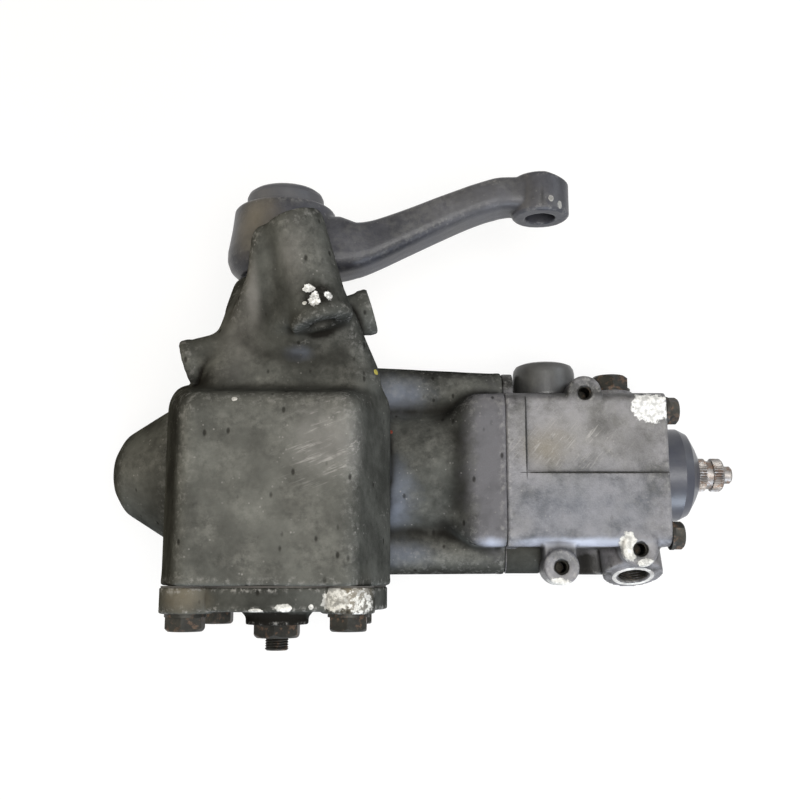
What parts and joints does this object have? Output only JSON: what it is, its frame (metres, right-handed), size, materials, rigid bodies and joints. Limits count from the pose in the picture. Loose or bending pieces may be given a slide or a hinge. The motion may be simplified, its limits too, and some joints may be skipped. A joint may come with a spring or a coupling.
{
  "type": "steering gearbox",
  "caption": "Recirculating-ball power steering gear: black cast housing with rotary valve, splined input shaft, side cover with adjuster, hose ports and a forged drop arm on the sector shaft.",
  "frame": {"origin": "middle of the bounding box at the flat back that the gear lies on", "axes": "+X along the worm towards the input shaft, +Y along the sector shaft towards the drop arm, +Z away from the flat back"},
  "size_m": [0.3545, 0.2565, 0.1636],
  "materials": {
    "cast_black": "black paint over rough casting, dusty",
    "cast_grey": "worn black paint over rough casting",
    "forged_black": "black paint over a forging",
    "bolt_steel": "blackened steel, dirty",
    "worn_steel": "bare steel, light rust",
    "hard_steel": "ground",
    "bronze": "machined",
    "seal_rubber": "matte",
    "cap_rubber": "satin",
    "cap_plastic": "matte",
    "gasket_paper": "matte",
    "ring_plastic": "matte"
  },
  "bodies": {
    "housing": {"housing": "cast_black", "side_cover": "cast_grey", "cover_gasket": "gasket_paper", "cover_bolts": "bolt_steel", "cover_washers": "bolt_steel", "adjusting_screw": "bolt_steel", "lock_nut": "bolt_steel", "lock_washer": "bolt_steel", "neck_bush": "bronze", "cover_bush": "bronze", "neck_seal": "seal_rubber", "seal_circlip": "bolt_steel", "worm_bearing": "hard_steel", "valve_housing": "cast_grey", "valve_o_ring": "seal_rubber", "valve_bolts": "bolt_steel", "valve_washers": "bolt_steel", "input_bearing": "hard_steel", "input_seal": "seal_rubber", "dust_cap": "cap_rubber", "port_cap": "cap_plastic", "gallery_plug": "bolt_steel"},
    "sector": {"sector_shaft": "hard_steel", "drop_arm": "forged_black", "arm_nut": "bolt_steel", "nut_cap": "forged_black", "lock_plate": "bolt_steel"},
    "piston": {"piston": "hard_steel", "piston_ring": "ring_plastic", "ball_return": "hard_steel", "balls": "hard_steel"},
    "worm": {"worm": "hard_steel", "valve_sleeve": "hard_steel", "sleeve_rings": "ring_plastic"},
    "input": {"input_shaft": "worn_steel", "torsion_bar": "hard_steel", "bar_pin": "hard_steel"}
  },
  "joints": [
    {"name": "sector_swing", "type": "hinge", "parent": "housing", "child": "sector", "pos_m": [-0.0765, 0, 0.098], "axis": [0, 1, 0], "range_deg": [-36, 36]},
    {"name": "piston_slide", "type": "slide", "parent": "housing", "child": "piston", "axis": [1, 0, 0], "range_m": [-0.0215, 0.0215]},
    {"name": "worm_turn", "type": "hinge", "parent": "housing", "child": "worm", "pos_m": [0, -0.0338, 0.042], "axis": [1, 0, 0], "range_deg": [-524, 524]},
    {"name": "valve_twist", "type": "hinge", "parent": "worm", "child": "input", "pos_m": [0, -0.0338, 0.042], "axis": [1, 0, 0], "range_deg": [-4, 4], "stiffness_Nm_per_rad": 1.5}
  ],
  "couplings": [
    {"joint": "piston_slide", "follows": "sector_swing", "m_per_rad": -0.034},
    {"joint": "worm_turn", "follows": "sector_swing", "ratio": 14.5}
  ]
}
